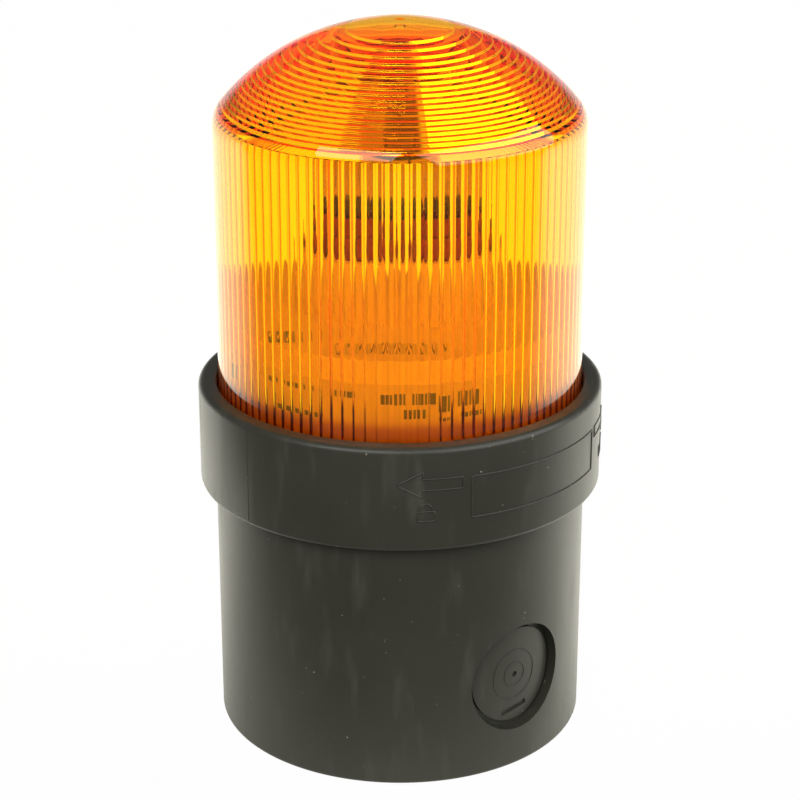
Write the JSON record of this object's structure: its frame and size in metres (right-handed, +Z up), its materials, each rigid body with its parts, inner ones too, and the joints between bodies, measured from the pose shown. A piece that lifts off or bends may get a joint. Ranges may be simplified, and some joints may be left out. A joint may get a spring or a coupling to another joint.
{
  "type": "signal beacon",
  "caption": "Amber signal beacon: fluted domed lens held by a bayonet locking ring on a black round base, with a bayonet lamp and terminals inside.",
  "frame": {"origin": "middle of the base's underside, on the beacon's axis", "axes": "+Z up along the beacon's axis; the front of the picture is -Y, +X to its right"},
  "size_m": [0.0758, 0.0758, 0.1355],
  "materials": {
    "black_plastic": "fine matt moulded",
    "rubber": "soft matt",
    "amber_lens": "clear amber, polished",
    "white_plastic": "satin moulded",
    "nickel": "dull nickel plated",
    "brown_phenolic": "satin moulded",
    "steel": "zinc plated",
    "brass": "bare",
    "black_glass": "fused glass",
    "solder": "dull solder",
    "clear_glass": "clear",
    "lead_wire": "drawn wire",
    "tungsten": "coiled wire"
  },
  "bodies": {
    "root": {"base_housing": "black_plastic", "base_gasket": "rubber", "lens_seal": "rubber", "lens": "amber_lens", "lamp_carrier": "white_plastic", "lampholder_shell": "nickel", "contact_insulator": "brown_phenolic", "holder_screws": "steel", "contact_springs": "steel", "contact_strips": "brass", "terminal_block": "white_plastic", "terminal_inserts": "brass", "wire_clamps": "steel", "terminal_screws": "steel"},
    "ring": {"locking_ring": "black_plastic"},
    "lamp": {"lamp_cap": "nickel", "cap_insulator": "black_glass", "lamp_contacts": "solder", "lamp_bulb": "clear_glass", "lamp_stem": "clear_glass", "filament_leads": "lead_wire", "filament": "tungsten"},
    "contacts": {"contact_plungers": "brass"}
  },
  "joints": [
    {"name": "ring_turn", "type": "hinge", "parent": "root", "child": "ring", "pos_m": [0, 0, 0.0584], "axis": [0, 0, 1], "range_deg": [0, 30]},
    {"name": "lamp_push", "type": "slide", "parent": "root", "child": "lamp", "axis": [0, 0, -1], "range_m": [0, 0.0015], "stiffness_N_per_m": 3000, "springref_m": -0.003},
    {"name": "contact_push", "type": "slide", "parent": "root", "child": "contacts", "axis": [0, 0, -1], "range_m": [0, 0.0015], "deforming": ["contact_springs"]}
  ],
  "couplings": [
    {"joint": "contact_push", "follows": "lamp_push", "ratio": 1}
  ]
}
